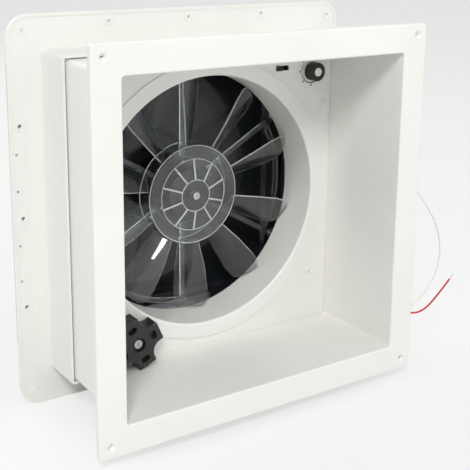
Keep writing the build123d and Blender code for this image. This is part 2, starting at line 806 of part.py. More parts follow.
with BuildPart() as crank_knob:
    lobe_angles = [knob_turn + 90 * i for i in range(4)]
    with BuildSketch(face(knob_back)) as knob_outline:
        with Locations((crank_x, crank_z)):
            Circle(knob_r)
            Rectangle(2 * knob_flat, 2 * knob_flat, rotation=knob_turn, mode=Mode.INTERSECT)
        with Locations(*[turned(knob_scallop_place, a + 45, crank_x, crank_z) for a in lobe_angles]):
            Circle(knob_scallop_r, mode=Mode.SUBTRACT)
        fillet(knob_outline.vertices(), knob_corner_r)
    extrude(amount=knob_height)
    chamfer(crank_knob.faces().sort_by(Axis.Y)[0].edges(), knob_edge)
    with BuildSketch(face(-knob_front)):
        for angle in lobe_angles:
            with Locations(turned(knob_pocket_place, angle, crank_x, crank_z)):
                SlotOverall(knob_pocket_length, knob_pocket_width, rotation=angle + 90)
    extrude(amount=-knob_pocket_depth, mode=Mode.SUBTRACT)
    with BuildSketch(face(-knob_front)):
        with Locations((crank_x, crank_z)):
            Circle(knob_cup_r)
    extrude(amount=-knob_cup_depth, mode=Mode.SUBTRACT)
    with BuildSketch(face(plate_front - bush_flange - seat_gap)):
        with Locations((crank_x, crank_z)):
            Circle(knob_hub_r)
    extrude(amount=plate_front - bush_flange - seat_gap - knob_back)
    with BuildSketch(face(plate_front)):
        with Locations((crank_x, crank_z)):
            Circle(crank_shaft_r)
    extrude(amount=plate_front - shaft_tip, mode=Mode.SUBTRACT)
    with BuildSketch(face(plate_front)):
        with Locations((crank_x, crank_z)):
            Circle(screw_r + running_gap)
    extrude(amount=knob_front - plate_depth, mode=Mode.SUBTRACT)
keep(crank_knob, "crank_knob")

knob_screw_length = knob_screw_grip - running_gap
knob_screw_head_r = screw_head_r * 1.5
knob_screw_solid = screw_solid(knob_screw_head_r, screw_head, screw_r, knob_screw_length, screw_slot)
with BuildPart(face(-(knob_front - knob_cup_depth))) as crank_knob_screw:
    with Locations((crank_x, crank_z)):
        add(knob_screw_solid)
keep(crank_knob_screw, "crank_knob_screw")

# Fan hub: a cone with ribs, a skirt and a boss on the motor's shaft
with BuildPart() as fan_hub:
    with BuildSketch(Plane.XY):
        with BuildLine():
            Polyline(
                (motor_shaft_r, -hub_disc_front),
                (hub_disc_r, -hub_disc_front),
                (hub_ring_r, -hub_front),
                (hub_r, -hub_front),
                (hub_r, hub_back),
                (hub_r - hub_wall, hub_back),
                (hub_r - hub_wall, hub_wall - hub_front),
                (hub_ring_r, hub_wall - hub_front),
                (hub_disc_r, hub_disc_thick - hub_disc_front),
                (hub_boss_r, hub_disc_thick - hub_disc_front),
                (hub_boss_r, -hub_front + seat_gap),
                (motor_shaft_r, -hub_front + seat_gap),
                close=True,
            )
        make_face()
    revolve(axis=Axis.Y)
    with BuildSketch(face(hub_wall - hub_front)):
        for i in range(blade_count):
            angle = (i + 0.5) * 360 / blade_count
            with Locations(turned((hub_disc_r + hub_ring_r) / 2, angle)):
                Rectangle(hub_ring_r - hub_disc_r + hub_wall, hub_rib_width, rotation=angle)
    extrude(amount=hub_disc_front - hub_front + hub_rib_rise - hub_wall / 2)
keep(fan_hub, "fan_hub")

# Fan blades: one cambered blade, lofted through its stations along the radius, and its copies
blade_root = hub_r - hub_wall / 2
with BuildPart() as blade:
    for share, chord, pitch, lead in blade_table:
        radius = blade_root + share * (blade_tip_r - blade_root)
        along = (0, cos(radians(pitch)), sin(radians(pitch)))
        tip = chord / 2
        skin = blade_thick / 2
        bow = chord * blade_camber
        with BuildSketch(Plane(origin=(radius, 0, lead), x_dir=along, z_dir=(1, 0, 0))):
            with BuildLine():
                ThreePointArc((-tip, -skin), (0, bow - skin), (tip, -skin))
                Line((tip, -skin), (tip, skin))
                ThreePointArc((tip, skin), (0, bow + skin), (-tip, skin))
                Line((-tip, skin), (-tip, -skin))
            make_face()
    loft()

with BuildPart(face(blade_mid)) as fan_blades:
    with PolarLocations(0, blade_count, start_angle=blade_start_angle):
        add(blade.part)
    # the roots end on the hub's skirt
    with BuildSketch(face(blade_mid)):
        Circle(hub_r + running_gap)
    extrude(amount=hub_r, both=True, mode=Mode.SUBTRACT)
keep(fan_blades, "fan_blades")

fan_screw_solid = screw_solid(fan_screw_r, fan_screw_head, screw_r, fan_screw_head, screw_slot)
with BuildPart(face(-hub_disc_front)) as fan_screw:
    add(fan_screw_solid)
keep(fan_screw, "fan_screw")

# Motor: shaft, armature, magnets, can, end caps and bushings
with BuildPart() as motor_shaft:
    with BuildSketch(face(motor_back + motor_cap)):
        Circle(motor_shaft_r - running_gap)
    extrude(amount=motor_back + motor_cap + hub_disc_front - 3 * fan_screw_head / 2)
keep(motor_shaft, "motor_shaft")

with BuildPart() as motor_armature:
    with BuildSketch(face(armature_back)):
        Circle(armature_r)
        for i in range(blade_count):
            with Locations(turned(armature_r, i * 360 / blade_count)):
                Rectangle(armature_r / 3, screw_r, rotation=i * 360 / blade_count, mode=Mode.SUBTRACT)
    extrude(amount=armature_back + motor_front - 2 * motor_cap)
    with BuildSketch(face(armature_back)):
        Circle(commutator_r)
    extrude(amount=-commutator_length)
    with BuildSketch(face(motor_back)):
        Circle(motor_shaft_r - running_gap)
    extrude(amount=motor_back + motor_front, mode=Mode.SUBTRACT)
keep(motor_armature, "motor_armature")

with BuildPart() as motor_magnets:
    magnet_r = motor_r - motor_wall - running_gap
    with BuildSketch(face(armature_back)):
        Circle(magnet_r)
        Circle(magnet_r - magnet_thick, mode=Mode.SUBTRACT)
        for s in (-1, 1):
            half_gap = magnet_r * sin(radians(90 - magnet_angle / 2))
            with Locations((0, s * magnet_r)):
                Rectangle(2 * half_gap, 2 * half_gap, mode=Mode.SUBTRACT)
    extrude(amount=armature_back + motor_front - 2 * motor_cap)
keep(motor_magnets, "motor_magnets")

with BuildPart() as motor_can:
    with BuildSketch(face(motor_back)):
        Circle(motor_r)
    extrude(amount=motor_back + motor_front)
    with BuildSketch(face(bracket_front)):
        Circle(motor_flange_r)
    extrude(amount=motor_flange)
    motor_screw_places = [turned(motor_screw_place, 90 + 120 * i) for i in range(3)]
    with BuildSketch(face(bracket_front)):
        with Locations(*motor_screw_places):
            Circle(screw_r + running_gap)
    extrude(amount=motor_flange, mode=Mode.SUBTRACT)
    with BuildSketch(face(motor_back)):
        Circle(motor_r - motor_wall)
    extrude(amount=motor_back + motor_front, mode=Mode.SUBTRACT)
keep(motor_can, "motor_can")

with BuildPart() as motor_front_cap:
    with BuildSketch(face(-motor_front)):
        Circle(motor_r)
    extrude(amount=motor_cap)
    with BuildSketch(face(-motor_front)):
        Circle(motor_boss_r)
    extrude(amount=motor_boss)
    with BuildSketch(face(-motor_front)):
        Circle(bushing_r + running_gap)
    extrude(amount=motor_boss, mode=Mode.SUBTRACT)
keep(motor_front_cap, "motor_front_cap")

with BuildPart() as motor_rear_cap:
    with BuildSketch(face(motor_back)):
        Circle(motor_r)
    extrude(amount=-motor_cap)
    with BuildSketch(face(motor_back)):
        Circle(motor_boss_r)
    extrude(amount=-motor_boss)
    with BuildSketch(face(motor_back)):
        Circle(bushing_r + running_gap)
    extrude(amount=-motor_boss, mode=Mode.SUBTRACT)
keep(motor_rear_cap, "motor_rear_cap")

with BuildPart() as motor_bushings:
    for start in (-motor_front, motor_back + motor_boss):
        with BuildSketch(face(start)):
            Circle(bushing_r)
            Circle(motor_shaft_r, mode=Mode.SUBTRACT)
        extrude(amount=motor_boss)
keep(motor_bushings, "motor_bushings")

# Bracket of clear plastic: a ring round the motor, six arms, three arcs and the posts
with BuildPart() as motor_bracket:
    bracket_back = bracket_front + bracket_sheet
    with BuildSketch(face(bracket_back)):
        Circle(bracket_arc_r + bracket_arc_width / 2)
        Circle(bracket_arc_r - bracket_arc_width / 2, mode=Mode.SUBTRACT)
        for start in bracket_gap_angles:
            with BuildLine(mode=Mode.PRIVATE) as wedge:
                wedge_r = 2 * bracket_arc_r
                last = bracket_arm_step - bracket_gap_inset
                steps = (bracket_gap_inset, bracket_arm_step / 2, last)
                corners = [turned(wedge_r, start + step) for step in steps]
                Polyline((0, 0), *corners, close=True)
            with BuildSketch(mode=Mode.PRIVATE) as gap:
                add(wedge.line)
                make_face()
            add(gap.sketch, mode=Mode.SUBTRACT)
        for i in range(360 // bracket_arm_step):
            angle = bracket_gap_angles[0] + i * bracket_arm_step
            with Locations(turned(bracket_arc_r / 2, angle)):
                Rectangle(bracket_arc_r, bracket_arm_width, rotation=angle)
        for angle in bracket_post_angles:
            with Locations(turned((bracket_arc_r + bracket_post_place) / 2, angle)):
                Rectangle(bracket_post_place - bracket_arc_r, 2 * bracket_post_r, rotation=angle)
            with Locations(turned(bracket_post_place, angle)):
                Circle(bracket_post_r)
        Circle(bracket_ring_r)
        Circle(motor_r + seat_gap, mode=Mode.SUBTRACT)
        with Locations(*motor_screw_places):
            Circle(screw_r + running_gap, mode=Mode.SUBTRACT)
    extrude(amount=bracket_sheet)
    bracket_post_places = [turned(bracket_post_place, angle) for angle in bracket_post_angles]
    with BuildSketch(face(bracket_front)):
        with Locations(*bracket_post_places):
            Circle(bracket_post_r)
    extrude(amount=bracket_front - throat_end)
    with BuildSketch(face(bracket_back)):
        with Locations(*bracket_post_places):
            Circle(screw_r + running_gap)
    extrude(amount=bracket_back - throat_end, mode=Mode.SUBTRACT)
keep(motor_bracket, "motor_bracket")

bracket_sky_side = Plane(origin=(0, bracket_front + bracket_sheet, 0), x_dir=(-1, 0, 0), z_dir=(0, 1, 0))
post_grip = bracket_front + bracket_sheet - throat_end + throat_lug_length / 2
post_screw = screw_solid(screw_head_r, screw_head, screw_r, post_grip, screw_slot)
with BuildPart(bracket_sky_side) as bracket_screws:
    with Locations(*[(-x, z) for x, z in bracket_post_places]):
        add(post_screw)
keep(bracket_screws, "bracket_screws")

motor_screw = screw_solid(screw_head_r, screw_head, screw_r, bracket_sheet + motor_flange, screw_slot)
with BuildPart(bracket_sky_side) as motor_screws:
    with Locations(*[(-x, z) for x, z in motor_screw_places]):
        add(motor_screw)
keep(motor_screws, "motor_screws")

# Speed dial: control body behind the plate, nut, shaft, fluted knob and its cap
with BuildPart() as speed_control:
    with BuildSketch(face(plate_back + control_length)):
        with Locations((dial_x, dial_z)):
            Circle(control_r)
    extrude(amount=control_length)
    with BuildSketch(face(plate_back)):
        with Locations((dial_x, dial_z)):
            Circle(control_neck_r)
    extrude(amount=plate_thick + control_nut_thick)
    with BuildSketch(face(plate_back + control_length / 2)):
        with Locations((dial_x, dial_z)):
            Circle(dial_shaft_r)
    extrude(amount=control_length + plate_thick + control_nut_thick, mode=Mode.SUBTRACT)
keep(speed_control, "speed_control")

with BuildPart() as control_nut:
    with BuildSketch(face(plate_front)):
        with Locations((dial_x, dial_z)):
            RegularPolygon(control_nut_width / 2, 6, major_radius=False)
            Circle(control_neck_r + running_gap, mode=Mode.SUBTRACT)
    extrude(amount=control_nut_thick)
keep(control_nut, "control_nut")

dial_back = plate_front - control_nut_thick - seat_gap
dial_front = dial_back - dial_height
with BuildPart() as dial_shaft:
    with BuildSketch(face(plate_back + control_length / 2)):
        with Locations((dial_x, dial_z)):
            Circle(dial_shaft_r - running_gap)
    extrude(amount=plate_back + control_length / 2 - dial_front - dial_cap_depth - print_gap)
keep(dial_shaft, "dial_shaft")

with BuildPart() as speed_dial:
    with BuildSketch(face(dial_back)):
        with Locations((dial_x, dial_z)):
            Circle(dial_r)
        for i in range(dial_flutes):
            with Locations(turned(dial_r, i * 360 / dial_flutes, dial_x, dial_z)):
                Circle(dial_flute_r, mode=Mode.SUBTRACT)
    extrude(amount=dial_height)
    chamfer(speed_dial.faces().sort_by(Axis.Y)[0].edges(), dial_edge_r / 2)
    with BuildSketch(face(dial_front)):
        with Locations((dial_x, dial_z)):
            Circle(dial_cap_r + running_gap)
    extrude(amount=-dial_cap_depth, mode=Mode.SUBTRACT)
    with BuildSketch(face(dial_front)):
        with Locations((dial_x, dial_z)):
            Circle(dial_shaft_r)
    extrude(amount=-dial_height, mode=Mode.SUBTRACT)
keep(speed_dial, "speed_dial")

with BuildPart() as speed_dial_cap:
    with BuildSketch(face(dial_front + dial_cap_depth)):
        with Locations((dial_x, dial_z)):
            Circle(dial_cap_r)
    extrude(amount=dial_cap_depth + dial_cap_rise)
    fillet(speed_dial_cap.faces().sort_by(Axis.Y)[0].edges(), dial_cap_rise)
keep(speed_dial_cap, "speed_dial_cap")

# Slide switch in its slot beside the dial
with BuildPart() as switch_body:
    body_length = switch_slot + 2 * switch_body_margin
    body_height = switch_slot_height + 2 * switch_body_margin
    with BuildSketch(face(plate_back + switch_body_depth)):
        with Locations((switch_x, switch_z)):
            RectangleRounded(body_length, body_height, switch_corner_r)
    extrude(amount=switch_body_depth)
    with BuildSketch(face(plate_back)):
        with Locations((switch_x, switch_z)):
            Rectangle(switch_slot, switch_slot_height)
    extrude(amount=-switch_body_depth / 2, mode=Mode.SUBTRACT)
keep(switch_body, "switch_body")

switch_travel = switch_slot - switch_key_length - 2 * seat_gap
with BuildPart() as switch_key:
    key_x = switch_x - switch_travel / 2
    with BuildSketch(face(plate_back + switch_body_depth / 2 - seat_gap)):
        with Locations((key_x, switch_z)):
            Rectangle(switch_key_length, switch_slot_height - 2 * seat_gap)
    extrude(amount=switch_body_depth / 2 - seat_gap + plate_thick + switch_key_rise)
    with BuildSketch(face(plate_front - switch_key_rise)):
        for i in (-1, 0, 1):
            with Locations((key_x + i * switch_key_length / 4, switch_z)):
                Rectangle(dial_flute_r, switch_slot_height)
    extrude(amount=-dial_flute_r, mode=Mode.SUBTRACT)
keep(switch_key, "switch_key")

# Grommet in the neck's right wall, and the two supply leads with bare tips
grommet_seat = neck_rim_half + (neck_foot_half - neck_rim_half) * (1 + grommet_y / neck_length) + print_gap
lead_exits = [("white", grommet_z + lead_pitch / 2), ("red", grommet_z - lead_pitch / 2)]
with BuildPart() as lead_grommet:
    with BuildSketch(side(curb_inner - grommet_flange, grommet_y, grommet_z)):
        Circle(grommet_r)
    extrude(amount=grommet_seat - curb_inner + grommet_flange)
    with BuildSketch(side(grommet_seat, grommet_y, grommet_z)):
        Circle(grommet_flange_r)
    extrude(amount=grommet_flange)
    with BuildSketch(side(curb_inner - grommet_flange, grommet_y, 0)):
        for name, z in lead_exits:
            with Locations((0, z)):
                Circle(lead_d / 2 - running_gap)
    extrude(amount=grommet_seat - curb_inner + grommet_flange, mode=Mode.SUBTRACT)
keep(lead_grommet, "lead_grommet")

lead_start_x = grommet_seat + grommet_flange
lead_routes = {
    "white": [
        (lead_start_x, grommet_y, lead_exits[0][1]),
        (195.0, grommet_y, lead_exits[0][1]),
        (209.0, -41.0, 16.0),
        (217.0, -63.0, 19.0),
        (219.0, -86.0, 22.0),
        (218.0, -110.0, 23.0),
        (217.0, -132.0, 20.0),
        (219.0, -149.0, 10.0),
        (227.0, -156.0, -6.0),
        (243.0, -156.5, -27.0),
        (256.0, -155.5, -51.0),
        (261.5, -155.0, -78.0),
        (254.0, -155.5, -104.0),
        (236.0, -157.0, -123.0),
        (214.0, -158.0, -134.5),
        (197.0, -158.5, -147.0),
        (188.0, -156.5, -163.0),
    ],
    "red": [
        (lead_start_x, grommet_y, lead_exits[1][1]),
        (195.0, grommet_y, lead_exits[1][1]),
        (208.0, -42.0, -5.0),
        (216.0, -64.0, -24.0),
        (217.0, -86.0, -44.0),
        (214.0, -108.0, -66.0),
        (207.0, -127.0, -90.0),
        (202.0, -140.0, -115.0),
        (204.0, -148.0, -136.0),
        (220.0, -152.5, -147.0),
        (240.0, -154.0, -146.0),
        (260.0, -155.5, -130.0),
        (279.0, -155.5, -113.0),
    ],
}


def corner_radii(points):
    """Radius at each inner point: 0.45 of the shorter run over the tangent of half the turn."""
    radii = []
    for before, here, after in zip(points, points[1:], points[2:]):
        run_in = Vector(*here) - Vector(*before)
        run_out = Vector(*after) - Vector(*here)
        half_turn = radians(run_in.get_angle(run_out)) / 2
        radii.append(0.45 * min(run_in.length, run_out.length) / tan(half_turn))
    return radii


for name, points in lead_routes.items():
    radii = corner_radii(points)
    print(name, "lead radii", [round(radius, 1) for radius in radii])
    with BuildPart() as lead:
        with BuildLine() as route:
            FilletPolyline(*points, radius=radii)
        with BuildSketch(Plane(origin=route.line @ 0, z_dir=route.line % 0)):
            Circle(lead_d / 2)
        sweep(path=route.line)
    lead_length = sum(edge.length for edge in route.edges())
    lead_section = pi * (lead_d / 2) ** 2
    print(name, "lead length", round(lead_length, 1))
    print(name, "lead volume", round(lead.part.volume, 1), "of", round(lead_section * lead_length, 1))
    keep(lead, name + "_lead")
    with BuildPart() as tip:
        with BuildSketch(Plane(origin=route.line @ 1, z_dir=route.line % 1)):
            Circle(lead_core_d / 2)
        extrude(amount=tip_length)
    keep(tip, name + "_lead_tip")

os.makedirs("parts", exist_ok=True)
for piece in pieces:
    export_step(piece, f"parts/{piece.label}.step")
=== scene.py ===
"""Roof vent fan for a recreational vehicle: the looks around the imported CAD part.

The fan stands on the edge of its roof flange: X right, Z up, Y from the room to the sky.
Lengths are in metres. Y = 0 is the flange's face on the roof, X = Z = 0 the axis of the fan.
"""

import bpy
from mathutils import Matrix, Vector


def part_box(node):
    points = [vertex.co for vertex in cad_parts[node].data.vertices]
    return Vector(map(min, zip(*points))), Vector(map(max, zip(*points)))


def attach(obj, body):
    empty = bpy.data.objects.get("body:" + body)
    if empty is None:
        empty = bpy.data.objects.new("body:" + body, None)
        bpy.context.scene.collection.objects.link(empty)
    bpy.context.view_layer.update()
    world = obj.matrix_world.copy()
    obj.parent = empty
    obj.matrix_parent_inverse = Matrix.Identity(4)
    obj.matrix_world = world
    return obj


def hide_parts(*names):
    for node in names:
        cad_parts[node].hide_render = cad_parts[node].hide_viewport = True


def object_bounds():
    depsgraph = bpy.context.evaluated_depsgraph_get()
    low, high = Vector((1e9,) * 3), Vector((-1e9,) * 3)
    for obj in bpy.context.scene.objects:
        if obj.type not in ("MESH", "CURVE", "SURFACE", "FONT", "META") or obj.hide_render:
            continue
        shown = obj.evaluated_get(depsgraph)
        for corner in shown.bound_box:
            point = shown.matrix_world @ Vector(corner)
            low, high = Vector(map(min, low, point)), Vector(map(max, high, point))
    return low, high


bl_info = {
    "name": "Roof Vent Fan",
    "version": (1, 0, 0),
    "blender": (4, 5, 0),
    "location": "3D View > Sidebar > Vent Fan",
    "description": "Makes the clear fan, leads, dial marks and finishes of a roof vent fan",
    "category": "Add Mesh",
}

from math import pi, radians

import bpy
import numpy as np
from mathutils import Matrix, Vector

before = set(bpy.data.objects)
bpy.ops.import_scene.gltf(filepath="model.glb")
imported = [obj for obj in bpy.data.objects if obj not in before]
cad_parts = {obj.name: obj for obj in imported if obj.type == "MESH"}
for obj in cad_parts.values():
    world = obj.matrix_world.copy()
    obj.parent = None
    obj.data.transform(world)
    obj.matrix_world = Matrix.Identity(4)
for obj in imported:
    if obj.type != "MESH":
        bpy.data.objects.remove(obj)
cad_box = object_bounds()

# The first blade's angle, how the fan's surfaces are divided, and the bevels on their edges
BLADE_START_ANGLE = 18.0
BLADE_ROWS = 40
BLADE_HALF_COLS = 22
HUB_STEPS = 160
BEAD_STEPS = 12
HUB_BEVEL = 0.0003
BLADE_BEVEL = 0.0004
BEVEL_SEGMENTS = 2
BEVEL_ANGLE = 40

# The boss on the motor's shaft ends this far behind the hub's edge
BOSS_GAP = 0.0003

# Share of the blade's span, chord, pitch angle, and how far the blade sits towards the room
BLADE_TABLE = np.array([
    (0.00, 0.024, 44.0, -0.0045),
    (0.38, 0.036, 41.0, -0.0015),
    (0.75, 0.041, 35.0, -0.0001),
    (0.94, 0.037, 32.0, -0.0001),
    (1.00, 0.026, 31.0, -0.0001),
])

# The leads' chosen points, from the grommet to the bare tips
LEAD_START = 0.1818
LEAD_ROUTES = {
    "white": [
        (LEAD_START, -0.0295, 0.0122), (0.195, -0.0295, 0.0122), (0.209, -0.041, 0.016),
        (0.217, -0.063, 0.019), (0.219, -0.086, 0.022), (0.218, -0.110, 0.023),
        (0.217, -0.132, 0.020), (0.219, -0.149, 0.010), (0.227, -0.156, -0.006),
        (0.243, -0.1565, -0.027), (0.256, -0.1555, -0.051), (0.2615, -0.155, -0.078),
        (0.254, -0.1555, -0.104), (0.236, -0.157, -0.123), (0.214, -0.158, -0.1345),
        (0.197, -0.1585, -0.147), (0.188, -0.1565, -0.163),
    ],
    "red": [
        (LEAD_START, -0.0295, 0.0078), (0.195, -0.0295, 0.0078), (0.208, -0.042, -0.005),
        (0.216, -0.064, -0.024), (0.217, -0.086, -0.044), (0.214, -0.108, -0.066),
        (0.207, -0.127, -0.090), (0.202, -0.140, -0.115), (0.204, -0.148, -0.136),
        (0.220, -0.1525, -0.147), (0.240, -0.154, -0.146), (0.260, -0.1555, -0.130),
        (0.279, -0.1555, -0.113),
    ],
}

# Marks printed round the dial: angles in degrees, and the dots' circle and size as shares of
# the arc's radius and width
ARC_ANGLES = (135.0, 315.0)
DOT_ANGLES = (135.0, 180.0, 225.0, 270.0, 315.0)
DOT_CIRCLE = 1.2
DOT_SIZE = 0.7
INK_THICKNESS = 0.00008

# The stage: half the floor's side and the points along it, the share of plain white that the
# camera sees in it, the strength of the light all round, and each lamp's place, side and power
FLOOR_HALF = 12
FLOOR_POINTS = 9
FLOOR_GLOW = 0.6
WORLD_STRENGTH = 0.5
LAMPS = {
    "key": ((-1.6, -2.3, 2.2), 0.8, 62.0),
    "fill": ((2.2, -2.4, 1.0), 2.4, 22.0),
    "sky_side": ((-0.8, 2.4, 1.8), 2.0, 26.0),
}

# The photograph's camera: width, focus and centre in pixels, turns in radians, and how far the
# middle of the trim's face lies to the right of the camera, below it and ahead of it
PHOTO_WIDTH = 470.0
PHOTO_FOCUS = 933.35
PHOTO_CENTRE_X = 200.0
PHOTO_CENTRE_Y = 150.0
SENSOR_WIDTH = 36.0
CAMERA_TURNS = (("Y", -0.567), ("X", 0.190), ("Z", -0.117))
TRIM_SEEN_AT = (0.075865, 0.082066, 0.961403)
TRIM_DEPTH = 0.1695

# Which finish each CAD node takes
FINISHES = {
    "white_shell": ["base_frame", "base_plate", "throat_ring", "trim_frame"],
    "white_small": ["speed_dial_cap", "plate_screws"],
    "smoke_lid": ["lid_dome"],
    "clear_plastic": ["motor_bracket"],
    "black_plastic": [
        "crank_knob", "speed_dial", "switch_body", "switch_key", "gear_case", "gear_cover",
        "speed_control",
    ],
    "nylon": ["worm_wheel", "track_shoe"],
    "seal_foam": ["curb_seal"],
    "rubber": ["lead_grommet"],
    "zinc_steel": [
        "hinge_brackets", "hinge_pins", "hinge_leaves", "hinge_screws", "leaf_rivets",
        "bracket_screws", "motor_screws", "shoe_pin", "arm_axle", "crank_shaft",
        "crank_knob_screw", "fan_screw", "motor_shaft", "control_nut", "dial_shaft", "lift_arm",
    ],
    "aluminium": ["lid_track"],
    "motor_steel": [
        "motor_can", "motor_front_cap", "motor_rear_cap", "motor_armature", "motor_magnets",
    ],
    "bronze": ["crank_bush", "motor_bushings"],
}


def length(name, default, description):
    """A size that a user may change, in metres."""
    return bpy.props.FloatProperty(
        name=name, description=description, default=default, min=0.0, subtype="DISTANCE",
        unit="LENGTH", precision=5,
    )


def colour(name, default, description):
    """A colour that a user may change."""
    return bpy.props.FloatVectorProperty(
        name=name, description=description, default=default, size=3, min=0.0, max=1.0,
        subtype="COLOR",
    )


class VENTFAN_PG_sizes(bpy.types.PropertyGroup):
    """Sizes of the pieces made here, the same as in the CAD part."""

    hub_radius: length("Hub radius", 0.0595, "Outside of the fan's skirt")
    hub_wall: length("Hub wall", 0.002, "Thickness of the skirt and the cone")
    hub_front: length("Hub front", 0.011, "How far the hub's edge stands towards the room")
    hub_back: length("Hub back", 0.012, "How far the skirt reaches towards the sky")
    ring_radius: length("Ring radius", 0.0427, "Where the cone starts")
    disc_radius: length("Disc radius", 0.0187, "Flat disc at the hub's middle")
    disc_front: length("Disc front", 0.0165, "How far the disc stands towards the room")
    disc_thick: length("Disc thickness", 0.003, "Thickness of the flat disc")
    boss_radius: length("Boss radius", 0.007, "Boss on the motor's shaft")
    bore_radius: length("Bore radius", 0.0025, "Bore for the motor's shaft")
    rib_width: length("Rib width", 0.002, "Width of a rib on the cone")
    tip_radius: length("Blade tip radius", 0.1405, "From the fan's axis to the blade's tip")
    blade_thick: length("Blade thickness", 0.002, "Thickness of a blade")
    blade_depth: length("Blade depth", 0.004, "How far the blades' middle lies to the room")
    lead_diameter: length("Lead diameter", 0.0022, "Outside of a lead's insulation")
    core_diameter: length("Core diameter", 0.0014, "Outside of a lead's bare strands")
    tip_length: length("Tip length", 0.009, "Bare length at a lead's end")
    plate_depth: length("Plate depth", 0.0475, "From the flange's face to the plate's front")
    mark_radius: length("Mark radius", 0.014, "Radius of the arc printed round the dial")
    mark_width: length("Mark width", 0.0016, "Widest part of the printed arc")
    blade_count: bpy.props.IntProperty(
        name="Blade count", description="Blades on the fan", default=10, min=2, max=24,
    )
    camber: bpy.props.FloatProperty(
        name="Camber", description="Bow of a blade as a share of its chord", default=0.05,
        min=0.0, max=0.3, subtype="FACTOR",
    )


class VENTFAN_PG_colours(bpy.types.PropertyGroup):
    """Colours of the finishes."""

    white: colour("White plastic", (0.84, 0.835, 0.80), "Flange, plate, throat and trim")
    smoke: colour("Smoked plastic", (0.016, 0.019, 0.023), "Lid")
    clear: colour("Clear plastic", (0.90, 0.93, 0.93), "Fan and motor bracket")
    black: colour("Black plastic", (0.012, 0.012, 0.013), "Knobs, switch and gear case")
    nylon: colour("Nylon", (0.74, 0.71, 0.62), "Worm wheel and shoe")
    steel: colour("Zinc plate", (0.58, 0.59, 0.60), "Hinges, screws and arm")
    metal: colour("Aluminium", (0.68, 0.69, 0.70), "Track on the lid")
    motor: colour("Motor steel", (0.09, 0.09, 0.10), "Motor's can and caps")
    bronze: colour("Bronze", (0.50, 0.35, 0.18), "Bushings")
    tin: colour("Tinned copper", (0.66, 0.63, 0.58), "Bare ends of the leads")
    red: colour("Red insulation", (0.58, 0.016, 0.014), "Red lead")
    ink: colour("Printed ink", (0.03, 0.03, 0.033), "Marks round the dial")


# Surfaces, each worked out as whole arrays


def grid_faces(rows, cols, wrap_rows=False, wrap_cols=False):
    """Four-cornered faces between neighbours on a grid: corner (i, j) is point i * cols + j."""
    i = np.arange(rows if wrap_rows else rows - 1)[:, None]
    j = np.arange(cols if wrap_cols else cols - 1)[None, :]
    up, along = (i + 1) % rows, (j + 1) % cols
    corners = (i * cols + j, up * cols + j, up * cols + along, i * cols + along)
    return np.stack(np.broadcast_arrays(*corners), axis=-1).reshape(-1, 4)


def tube_faces(rows, cols):
    """Faces of a tube of rings, closed at each end by a strip between its two halves."""
    side = np.arange(cols // 2 - 1)
    cap = np.stack((side, side + 1, cols - 2 - side, cols - 1 - side), axis=-1)
    last = (rows - 1) * cols
    return np.concatenate((grid_faces(rows, cols, wrap_cols=True), cap, cap[:, ::-1] + last))


def outward(points, faces):
    """Turns a closed surface's faces round if its volume, the sum of its cones, is negative."""
    a, b, c, d = (points[faces[:, k]] for k in range(4))
    volume = np.einsum("ij,ij->", a, np.cross(b, c)) + np.einsum("ij,ij->", a, np.cross(c, d))
    return faces if volume > 0 else faces[:, ::-1]


def copies_about_axis(points, faces, angles):
    """The same shape at each angle about Y: x' = x cos a - z sin a, z' = x sin a + z cos a."""
    cos_a, sin_a = np.cos(angles)[:, None], np.sin(angles)[:, None]
    x, y, z = points[:, 0], points[:, 1], points[:, 2]
    turned = np.stack((x * cos_a - z * sin_a, y + 0 * cos_a, x * sin_a + z * cos_a), axis=-1)
    shifts = np.arange(len(angles))[:, None, None] * len(points)
    return turned.reshape(-1, 3), (faces[None] + shifts).reshape(-1, 4)


def joined(*surfaces):
    """Several surfaces as one list of points and one of faces."""
    starts = np.cumsum([0] + [len(points) for points, _ in surfaces[:-1]])
    faces = [faces + start for (_, faces), start in zip(surfaces, starts)]
    return np.concatenate([points for points, _ in surfaces]), np.concatenate(faces)


def revolved(radii, depths, steps):
    """A closed profile turned about Y: (r cos a, y, r sin a) for a from 0 to a full turn."""
    angle = np.linspace(0, 2 * pi, steps, endpoint=False)[:, None]
    r, y = np.array(radii)[None, :], np.array(depths)[None, :]
    points = np.stack((r * np.cos(angle), y + 0 * angle, r * np.sin(angle)), axis=-1)
    points = points.reshape(-1, 3)
    return points, outward(points, grid_faces(steps, len(radii), True, True))


